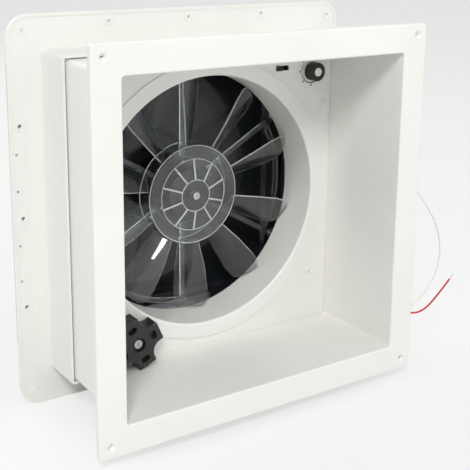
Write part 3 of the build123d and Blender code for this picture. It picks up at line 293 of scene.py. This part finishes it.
def blade_surface(sizes, rows=BLADE_ROWS, half_cols=BLADE_HALF_COLS):
    """One blade: at share u of the span, a bowed strip of constant thickness.

    The blade table is read at the mean of u over five rows, which rounds the table's corners.

    Across the strip c runs from -chord / 2 to chord / 2, and the bow is camber times chord
    times 1 - (2 c / chord) squared. The strip is turned by the pitch angle about the radius,
    and the root follows the hub's skirt, where x = sqrt(hub radius squared - t squared).
    """
    share = np.linspace(0, 1, rows)
    soft = np.convolve(np.pad(share, 2, mode="edge"), np.ones(5) / 5, mode="valid")
    soft[0], soft[-1] = 0, 1
    chord, pitch, lead = (np.interp(soft, BLADE_TABLE[:, 0], BLADE_TABLE[:, k]) for k in (1, 2, 3))
    pitch = np.radians(pitch)[:, None]
    across = np.linspace(-1, 1, half_cols)
    place = np.concatenate((across, across[::-1]))[None, :]
    skin = np.concatenate((np.full(half_cols, 0.5), np.full(half_cols, -0.5)))[None, :]
    c = place * chord[:, None] / 2
    n = sizes.camber * chord[:, None] * (1 - place**2) + skin * sizes.blade_thick
    t = c * np.cos(pitch) - n * np.sin(pitch)
    toward = lead[:, None] + c * np.sin(pitch) + n * np.cos(pitch)
    root = np.sqrt(sizes.hub_radius**2 - t**2)
    x = root + (sizes.tip_radius - root) * share[:, None]
    points = np.stack((x, -sizes.blade_depth - toward, t), axis=-1).reshape(-1, 3)
    return points, outward(points, tube_faces(rows, 2 * half_cols))


def rib_surface(sizes):
    """One rib on the cone: a bar whose outer edge stands a little over the cone's slope."""
    inner, outer = sizes.disc_radius, sizes.ring_radius
    half = over = sizes.rib_width / 2
    front_in, front_out = -sizes.disc_front - over / 2, -sizes.hub_front - over
    back = sizes.hub_wall / 2
    corners = np.array([
        (inner, front_in), (outer, front_out), (outer, front_out + over + back),
        (inner, front_in + over + back),
    ])
    points = np.concatenate([
        np.stack((corners[:, 0], corners[:, 1], np.full(4, s * half)), axis=-1) for s in (-1, 1)
    ])
    faces = np.array([
        (0, 1, 2, 3), (7, 6, 5, 4), (0, 4, 5, 1), (1, 5, 6, 2), (2, 6, 7, 3), (3, 7, 4, 0),
    ])
    return points, outward(points, faces)


def strand_tip(start, along, radius, reach, rows=30, cols=42, strands=7, twist=5.0):
    """A twisted bundle: radius * (0.9 + 0.1 |cos(strands / 2 * (a - twist s))|).

    Over its last tenth it is drawn in, along a quarter of an ellipse, to a seventh.
    """
    share = np.linspace(0, 1, rows)[:, None]
    angle = np.linspace(0, 2 * pi, cols, endpoint=False)[None, :]
    lobes = 0.9 + 0.1 * np.abs(np.cos(strands / 2 * (angle - twist * share)))
    narrow = np.sqrt(np.clip(1 - ((share - 0.9) / 0.1).clip(0, 1) ** 2, 0.02, 1))
    r = radius * lobes * narrow
    aside = np.cross(along, (0.0, 0.0, 1.0))
    aside /= np.linalg.norm(aside)
    above = np.cross(along, aside)
    points = (
        start + share[..., None] * reach * along
        + (r * np.cos(angle))[..., None] * aside + (r * np.sin(angle))[..., None] * above
    ).reshape(-1, 3)
    return points, outward(points, tube_faces(rows, cols))


def arc_mark(x, z, y, radius, width, start, end, steps=96):
    """A flat arc that grows from a fifth of its width to all of it along its sweep."""
    share = np.linspace(0, 1, steps)[:, None]
    angle = np.radians(start + (end - start) * share)
    edge = np.array([-0.5, 0.5])[None, :] * width * (0.2 + 0.8 * share)
    r = radius + edge
    points = np.stack((x + r * np.cos(angle), y + 0 * r, z + r * np.sin(angle)), axis=-1)
    return points.reshape(-1, 3), grid_faces(steps, 2)


def dot_marks(x, z, y, radius, size, angles, steps=16):
    """Flat dots on a circle, each a ring of faces down to a fiftieth of the dot's size."""
    turn = np.linspace(0, 2 * pi, steps, endpoint=False)
    inner = np.stack((np.cos(turn), np.sin(turn)), axis=-1)
    rings = np.stack((inner * size, inner * size * 0.02))
    points, faces = [], []
    for k, angle in enumerate(np.radians(angles)):
        centre = np.array((x + radius * np.cos(angle), z + radius * np.sin(angle)))
        flat = (rings + centre).reshape(-1, 2)
        points.append(np.stack((flat[:, 0], np.full(len(flat), y), flat[:, 1]), axis=-1))
        faces.append(grid_faces(2, steps, wrap_cols=True) + k * 2 * steps)
    return np.concatenate(points), np.concatenate(faces)


def new_piece(name, points, faces, material, smooth_angle=35.0):
    """A mesh object at the origin, its place in its points, smooth up to the given angle."""
    mesh = bpy.data.meshes.new(name)
    mesh.from_pydata(points.tolist(), [], faces.tolist())
    mesh.validate()
    mesh.shade_smooth()
    mesh.set_sharp_from_angle(angle=radians(smooth_angle))
    mesh.materials.append(material)
    piece = bpy.data.objects.new(name, mesh)
    bpy.context.scene.collection.objects.link(piece)
    return piece


def painted_highlight_edges(piece, half_cols, faces_each):
    """Gives a blade's two narrow sides and its end caps a paler, less clear copy of the clear
    plastic, a painted highlight on its edges.

    On a grid of 2 n columns the narrow sides are columns n - 1 and 2 n - 1, and the faces
    after the grid are the caps.
    """
    piece.data.materials.append(finish("clear_edge"))
    number = np.arange(len(piece.data.polygons)) % faces_each
    column = number % (2 * half_cols)
    caps = number >= faces_each - 2 * (half_cols - 1)
    narrow = (column == half_cols - 1) | (column == 2 * half_cols - 1) | caps
    piece.data.polygons.foreach_set("material_index", narrow.astype(np.int32))


def rounded_edges(piece, width):
    """A small bevel on the piece's sharp edges, which catches the light."""
    bevel = piece.modifiers.new("edges", "BEVEL")
    bevel.width = width
    bevel.segments = BEVEL_SEGMENTS
    bevel.limit_method = "ANGLE"
    bevel.angle_limit = radians(BEVEL_ANGLE)


# Finishes, all from nodes on Object coordinates


def blank_finish(name):
    """A new material with a Principled shader; returns it, its nodes, its links and the shader."""
    material = bpy.data.materials.new(name + "_finish")
    material.use_nodes = True
    nodes, links = material.node_tree.nodes, material.node_tree.links
    nodes.clear()
    shader = nodes.new("ShaderNodeBsdfPrincipled")
    output = nodes.new("ShaderNodeOutputMaterial")
    links.new(shader.outputs["BSDF"], output.inputs["Surface"])
    return material, nodes, links, shader


def noise(nodes, links, scale, detail=3.0, stretch=(1, 1, 1)):
    """Noise on Object coordinates, stretched along the axes."""
    place = nodes.new("ShaderNodeTexCoord")
    mapping = nodes.new("ShaderNodeMapping")
    mapping.inputs["Scale"].default_value = stretch
    texture = nodes.new("ShaderNodeTexNoise")
    texture.inputs["Scale"].default_value = scale
    texture.inputs["Detail"].default_value = detail
    links.new(place.outputs["Object"], mapping.inputs["Vector"])
    links.new(mapping.outputs["Vector"], texture.inputs["Vector"])
    return texture.outputs["Fac"]


def spread(nodes, links, source, low, high, start=0.35, end=0.65):
    """The source's middle range spread over low to high."""
    span = nodes.new("ShaderNodeMapRange")
    span.inputs["From Min"].default_value = start
    span.inputs["From Max"].default_value = end
    span.inputs["To Min"].default_value = low
    span.inputs["To Max"].default_value = high
    links.new(source, span.inputs["Value"])
    return span.outputs["Result"]


def tinted(nodes, links, shader, source, base, other):
    """The shader's colour, mixed between two tones by the source."""
    mix = nodes.new("ShaderNodeMix")
    mix.data_type = "RGBA"
    mix.inputs["A"].default_value = (*base, 1)
    mix.inputs["B"].default_value = (*other, 1)
    links.new(source, mix.inputs["Factor"])
    links.new(mix.outputs["Result"], shader.inputs["Base Color"])


def bumped(nodes, links, shader, source, strength, distance):
    """Relief from the source, as deep as the distance."""
    bump = nodes.new("ShaderNodeBump")
    bump.inputs["Strength"].default_value = strength
    bump.inputs["Distance"].default_value = distance
    links.new(source, bump.inputs["Height"])
    links.new(bump.outputs["Normal"], shader.inputs["Normal"])


def shaded(tone, factor):
    """A tone made darker or lighter by a factor."""
    return tuple(min(1.0, part * factor) for part in tone)


def moulded(name, tone, rough, grain, relief, shade=0.95, coat=0.0):
    """Moulded plastic: a fine grain, slow changes of tone, and rubbed patches in the gloss."""
    material, nodes, links, shader = blank_finish(name)
    slow = spread(nodes, links, noise(nodes, links, 9.0), 0.0, 1.0)
    tinted(nodes, links, shader, slow, tone, shaded(tone, shade))
    patches = noise(nodes, links, 55.0, 6.0, (1.0, 0.6, 1.6))
    links.new(spread(nodes, links, patches, rough - 0.05, rough + 0.09), shader.inputs["Roughness"])
    bumped(nodes, links, shader, noise(nodes, links, grain, 2.0), 0.35, relief)
    shader.inputs["IOR"].default_value = 1.5
    shader.inputs["Coat Weight"].default_value = coat
    return material


def metal(name, tone, rough, stretch, shade=0.8):
    """Plated or bare metal: fine drawn lines, with dull spots where it was handled."""
    material, nodes, links, shader = blank_finish(name)
    spots = spread(nodes, links, noise(nodes, links, 120.0, 5.0), 0.0, 1.0)
    tinted(nodes, links, shader, spots, tone, shaded(tone, shade))
    lines = noise(nodes, links, 700.0, 3.0, stretch)
    links.new(spread(nodes, links, lines, rough - 0.08, rough + 0.12), shader.inputs["Roughness"])
    bumped(nodes, links, shader, lines, 0.3, 0.00004)
    shader.inputs["Metallic"].default_value = 1.0
    return material


def clear(name, tone, rough, weight):
    """Clear moulded plastic: flow lines from the gate, with a slight haze in the gloss."""
    material, nodes, links, shader = blank_finish(name)
    slow = spread(nodes, links, noise(nodes, links, 30.0), 0.0, 1.0)
    tinted(nodes, links, shader, slow, tone, shaded(tone, 0.95))
    haze = noise(nodes, links, 90.0, 5.0)
    links.new(spread(nodes, links, haze, rough - 0.02, rough + 0.08), shader.inputs["Roughness"])
    bumped(nodes, links, shader, noise(nodes, links, 40.0, 1.0), 0.12, 0.0003)
    shader.inputs["Transmission Weight"].default_value = weight
    shader.inputs["IOR"].default_value = 1.49
    return material


def foam(name, tone):
    """Cellular foam: pits from a cell pattern, their colour darkened towards the pits' middles as
    painted shade.
    """
    material, nodes, links, shader = blank_finish(name)
    place = nodes.new("ShaderNodeTexCoord")
    cells = nodes.new("ShaderNodeTexVoronoi")
    cells.inputs["Scale"].default_value = 900.0
    links.new(place.outputs["Object"], cells.inputs["Vector"])
    pits = spread(nodes, links, cells.outputs["Distance"], 0.0, 1.0, 0.0, 0.6)
    # Painted shade: the colour darkens to half where the bump makes the pits deepest
    tinted(nodes, links, shader, pits, shaded(tone, 0.5), tone)
    links.new(spread(nodes, links, pits, 0.8, 0.95, 0.0, 1.0), shader.inputs["Roughness"])
    bumped(nodes, links, shader, pits, 0.7, 0.0004)
    return material


def make_finishes(tones):
    """Makes every finish: its slot's name, the function that makes it, and what that takes."""
    recipes = {
        "white_shell": (moulded, tones.white, 0.34, 1400.0, 0.00005, 0.965),
        "white_small": (moulded, tones.white, 0.26, 1800.0, 0.00003, 0.97),
        "smoke_lid": (moulded, tones.smoke, 0.16, 260.0, 0.00005, 0.8, 0.4),
        "clear_plastic": (clear, tones.clear, 0.03, 0.99),
        # A paler, less clear copy of the clear plastic: a painted highlight for the blades' edges
        # and the hub's ribs and beads
        "clear_edge": (clear, tones.clear, 0.20, 0.45),
        "black_plastic": (moulded, tones.black, 0.38, 1600.0, 0.00006, 1.5),
        "nylon": (moulded, tones.nylon, 0.42, 900.0, 0.00004, 0.93),
        "seal_foam": (foam, (0.05, 0.05, 0.052)),
        "rubber": (moulded, tones.black, 0.62, 1200.0, 0.00008, 1.6),
        "zinc_steel": (metal, tones.steel, 0.32, (1.0, 1.0, 0.08)),
        "aluminium": (metal, tones.metal, 0.36, (0.05, 1.0, 1.0)),
        "motor_steel": (metal, tones.motor, 0.40, (1.0, 0.1, 1.0), 0.7),
        "bronze": (metal, tones.bronze, 0.45, (1.0, 1.0, 1.0), 0.75),
        "white_wire": (moulded, tones.white, 0.40, 1500.0, 0.00003, 0.95),
        "red_wire": (moulded, tones.red, 0.36, 1500.0, 0.00003, 0.85),
        "tinned_wire": (metal, tones.tin, 0.30, (1.0, 1.0, 1.0), 0.8),
        "ink": (moulded, tones.ink, 0.5, 2500.0, 0.00001, 1.3),
    }
    for name, (make, *values) in recipes.items():
        make(name, *values)


def finish(name):
    """The finish of that name; the first call makes them all."""
    if name + "_finish" not in bpy.data.materials:
        make_finishes(bpy.context.scene.ventfan_colours)
    return bpy.data.materials[name + "_finish"]


class VENTFAN_OT_finishes(bpy.types.Operator):
    """Give every CAD node its finish"""

    bl_idname = "ventfan.finishes"
    bl_label = "Finish the CAD pieces"

    def execute(self, context):
        for name, members in FINISHES.items():
            for node in members:
                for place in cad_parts[node].material_slots:
                    place.material = finish(name)
        return {"FINISHED"}


class VENTFAN_OT_hub(bpy.types.Operator):
    """Make the fan's clear hub with its cone, skirt and ribs"""

    bl_idname = "ventfan.hub"
    bl_label = "Fan hub"

    def execute(self, context):
        s = context.scene.ventfan_sizes
        radii = [
            s.bore_radius, s.disc_radius, s.ring_radius, s.hub_radius, s.hub_radius,
            s.hub_radius - s.hub_wall, s.hub_radius - s.hub_wall, s.ring_radius, s.disc_radius,
            s.boss_radius, s.boss_radius, s.bore_radius,
        ]
        depths = [
            -s.disc_front, -s.disc_front, -s.hub_front, -s.hub_front, s.hub_back, s.hub_back,
            s.hub_wall - s.hub_front, s.hub_wall - s.hub_front, s.disc_thick - s.disc_front,
            s.disc_thick - s.disc_front, -s.hub_front + BOSS_GAP, -s.hub_front + BOSS_GAP,
        ]
        shell = revolved(radii, depths, HUB_STEPS)
        step = 2 * pi / s.blade_count
        ribs = copies_about_axis(*rib_surface(s), (np.arange(s.blade_count) + 0.5) * step)
        bead = s.rib_width / 4
        turn = np.linspace(0, 2 * pi, BEAD_STEPS, endpoint=False)
        bead_places = (
            (s.hub_radius - s.hub_wall / 2, -s.hub_front),
            (s.ring_radius, -s.hub_front),
            (s.disc_radius, -s.disc_front),
        )
        beads = [
            revolved(radius + bead * np.cos(turn), depth + bead * np.sin(turn), HUB_STEPS)
            for radius, depth in bead_places
        ]
        piece = new_piece("clear_hub", *joined(shell, ribs, *beads), finish("clear_plastic"))
        # The ribs and beads take the paler, less clear copy of the clear plastic as a painted
        # highlight
        piece.data.materials.append(finish("clear_edge"))
        raised = np.arange(len(piece.data.polygons)) >= len(shell[1])
        piece.data.polygons.foreach_set("material_index", raised.astype(np.int32))
        rounded_edges(piece, HUB_BEVEL)
        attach(piece, "fan")
        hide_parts("fan_hub")
        return {"FINISHED"}


class VENTFAN_OT_blades(bpy.types.Operator):
    """Make the fan's clear twisted blades"""

    bl_idname = "ventfan.blades"
    bl_label = "Fan blades"

    def execute(self, context):
        s = context.scene.ventfan_sizes
        steps = np.arange(s.blade_count)
        angles = radians(BLADE_START_ANGLE) + steps * 2 * pi / s.blade_count
        blade = blade_surface(s)
        blades = copies_about_axis(*blade, angles)
        piece = new_piece("clear_blades", *blades, finish("clear_plastic"))
        painted_highlight_edges(piece, BLADE_HALF_COLS, len(blade[1]))
        rounded_edges(piece, BLADE_BEVEL)
        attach(piece, "fan")
        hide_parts("fan_blades")
        return {"FINISHED"}


class VENTFAN_OT_leads(bpy.types.Operator):
    """Lay the two supply leads along their chosen points, with bare stranded tips"""

    bl_idname = "ventfan.leads"
    bl_label = "Supply leads"

    def execute(self, context):
        s = context.scene.ventfan_sizes
        for name, route in LEAD_ROUTES.items():
            curve = bpy.data.curves.new(name + "_flex", "CURVE")
            curve.dimensions = "3D"
            curve.bevel_depth = s.lead_diameter / 2
            curve.bevel_resolution = 6
            curve.resolution_u = 12
            curve.use_fill_caps = True
            line = curve.splines.new("NURBS")
            line.points.add(len(route) - 1)
            line.points.foreach_set("co", np.array([(*point, 1) for point in route]).ravel())
            line.order_u = 3
            line.use_endpoint_u = True
            curve.materials.append(finish(name + "_wire"))
            flex = bpy.data.objects.new(name + "_flex", curve)
            context.scene.collection.objects.link(flex)
            along = np.array(route[-1]) - np.array(route[-2])
            along /= np.linalg.norm(along)
            surface = strand_tip(np.array(route[-1]), along, s.core_diameter / 2, s.tip_length)
            tip = new_piece(name + "_strands", *surface, finish("tinned_wire"), 60.0)
            for piece, node in ((flex, name + "_lead"), (tip, name + "_lead_tip")):
                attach(piece, "frame")
                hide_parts(node)
        return {"FINISHED"}


class VENTFAN_OT_dial_marks(bpy.types.Operator):
    """Print the growing arc and the dots round the speed dial"""

    bl_idname = "ventfan.dial_marks"
    bl_label = "Dial marks"

    def execute(self, context):
        s = context.scene.ventfan_sizes
        low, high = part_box("speed_dial")
        x, z = (low[0] + high[0]) / 2, (low[2] + high[2]) / 2
        y = -s.plate_depth - INK_THICKNESS
        dot_circle, dot_size = s.mark_radius * DOT_CIRCLE, s.mark_width * DOT_SIZE
        marks = joined(
            arc_mark(x, z, y, s.mark_radius, s.mark_width, *ARC_ANGLES),
            dot_marks(x, z, y, dot_circle, dot_size, DOT_ANGLES),
        )
        piece = new_piece("dial_marks", *marks, finish("ink"))
        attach(piece, "frame")
        return {"FINISHED"}


class VENTFAN_OT_stage(bpy.types.Operator):
    """Set the pale floor, the soft lights and the camera"""

    bl_idname = "ventfan.stage"
    bl_label = "Stage"

    def execute(self, context):
        scene = context.scene
        scene.view_settings.view_transform = "Standard"
        self.floor(cad_box[0][2])
        self.world(scene)
        for name, (place, size, watts) in LAMPS.items():
            self.lamp(name, place, size, watts)
        self.camera(scene)
        return {"FINISHED"}

    def floor(self, height):
        """A flat floor; the camera sees it partly as plain white, and it keeps its shadow."""
        across = np.linspace(-FLOOR_HALF, FLOOR_HALF, FLOOR_POINTS)
        x, y = np.meshgrid(across, across, indexing="ij")
        points = np.stack((x, y, np.full_like(x, height)), axis=-1).reshape(-1, 3)
        material = bpy.data.materials.new("floor")
        material.use_nodes = True
        nodes, links = material.node_tree.nodes, material.node_tree.links
        nodes.clear()
        matt = nodes.new("ShaderNodeBsdfDiffuse")
        matt.inputs["Color"].default_value = (0.86, 0.86, 0.86, 1)
        glow = nodes.new("ShaderNodeEmission")
        mix = nodes.new("ShaderNodeMixShader")
        output = nodes.new("ShaderNodeOutputMaterial")
        share = nodes.new("ShaderNodeMath")
        share.operation = "MULTIPLY"
        share.inputs[1].default_value = FLOOR_GLOW
        links.new(self.seen(nodes, links), share.inputs[0])
        links.new(share.outputs[0], mix.inputs[0])
        links.new(matt.outputs[0], mix.inputs[1])
        links.new(glow.outputs[0], mix.inputs[2])
        links.new(mix.outputs[0], output.inputs["Surface"])
        faces = grid_faces(FLOOR_POINTS, FLOOR_POINTS)[:, ::-1]
        floor = new_piece("floor", points, faces, material)

    def seen(self, nodes, links):
        """1 for rays from the camera, in gloss or through clear plastic, 0 for the rest."""
        path = nodes.new("ShaderNodeLightPath")
        first = nodes.new("ShaderNodeMath")
        second = nodes.new("ShaderNodeMath")
        first.operation = second.operation = "MAXIMUM"
        links.new(path.outputs["Is Camera Ray"], first.inputs[0])
        links.new(path.outputs["Is Glossy Ray"], first.inputs[1])
        links.new(first.outputs[0], second.inputs[0])
        links.new(path.outputs["Is Transmission Ray"], second.inputs[1])
        return second.outputs[0]

    def world(self, scene):
        """Plain light from all round, seen as white."""
        world = bpy.data.worlds.new("studio")
        scene.world = world
        world.use_nodes = True
        nodes, links = world.node_tree.nodes, world.node_tree.links
        nodes.clear()
        plain = nodes.new("ShaderNodeBackground")
        plain.inputs["Color"].default_value = (1, 1, 1, 1)
        plain.inputs["Strength"].default_value = WORLD_STRENGTH
        white = nodes.new("ShaderNodeBackground")
        white.inputs["Color"].default_value = (1, 1, 1, 1)
        mix = nodes.new("ShaderNodeMixShader")
        output = nodes.new("ShaderNodeOutputWorld")
        links.new(self.seen(nodes, links), mix.inputs[0])
        links.new(plain.outputs[0], mix.inputs[1])
        links.new(white.outputs[0], mix.inputs[2])
        links.new(mix.outputs[0], output.inputs["Surface"])

    def lamp(self, name, place, size, watts):
        """A square soft lamp that looks at the fan's middle."""
        lamp = bpy.data.lights.new(name, "AREA")
        lamp.size = size
        lamp.energy = watts
        holder = bpy.data.objects.new(name, lamp)
        place = Vector(place)
        holder.location = place
        holder.rotation_euler = (-place).to_track_quat("-Z", "Y").to_euler()
        bpy.context.scene.collection.objects.link(holder)

    def camera(self, scene):
        """The photograph's camera, from a fit of the trim's and flange's corners."""
        first, second, third = (Matrix.Rotation(angle, 3, axis) for axis, angle in CAMERA_TURNS)
        axes = first @ second @ third @ Matrix(((1, 0, 0), (0, 0, -1), (0, 1, 0)))
        place = -(axes.transposed() @ Vector(TRIM_SEEN_AT))
        place.y -= TRIM_DEPTH
        pose = Matrix((axes[0], -axes[1], -axes[2])).transposed().to_4x4()
        pose.translation = place
        lens = bpy.data.cameras.new("camera")
        lens.sensor_width = SENSOR_WIDTH
        lens.lens = PHOTO_FOCUS / PHOTO_WIDTH * SENSOR_WIDTH
        lens.shift_x = (PHOTO_WIDTH / 2 - PHOTO_CENTRE_X) / PHOTO_WIDTH
        lens.shift_y = (PHOTO_CENTRE_Y - PHOTO_WIDTH / 2) / PHOTO_WIDTH
        camera = bpy.data.objects.new("camera", lens)
        camera.matrix_world = pose
        scene.collection.objects.link(camera)
        scene.camera = camera


class VENTFAN_PT_panel(bpy.types.Panel):
    """Buttons and sizes in the sidebar"""

    bl_label = "Roof Vent Fan"
    bl_idname = "VENTFAN_PT_panel"
    bl_space_type = "VIEW_3D"
    bl_region_type = "UI"
    bl_category = "Vent Fan"

    def draw(self, context):
        for operator in OPERATORS:
            self.layout.operator(operator.bl_idname)
        for group in (context.scene.ventfan_sizes, context.scene.ventfan_colours):
            box = self.layout.box()
            for name in group.__annotations__:
                box.prop(group, name)


OPERATORS = (
    VENTFAN_OT_finishes,
    VENTFAN_OT_hub,
    VENTFAN_OT_blades,
    VENTFAN_OT_leads,
    VENTFAN_OT_dial_marks,
    VENTFAN_OT_stage,
)
CLASSES = (VENTFAN_PG_sizes, VENTFAN_PG_colours, *OPERATORS, VENTFAN_PT_panel)


def register():
    for item in CLASSES:
        bpy.utils.register_class(item)
    bpy.types.Scene.ventfan_sizes = bpy.props.PointerProperty(type=VENTFAN_PG_sizes)
    bpy.types.Scene.ventfan_colours = bpy.props.PointerProperty(type=VENTFAN_PG_colours)


def unregister():
    del bpy.types.Scene.ventfan_colours
    del bpy.types.Scene.ventfan_sizes
    for item in reversed(CLASSES):
        bpy.utils.unregister_class(item)


def main():
    register()
    bpy.ops.ventfan.finishes()
    bpy.ops.ventfan.hub()
    bpy.ops.ventfan.blades()
    bpy.ops.ventfan.leads()
    bpy.ops.ventfan.dial_marks()
    bpy.ops.ventfan.stage()


if __name__ == "__main__":
    main()
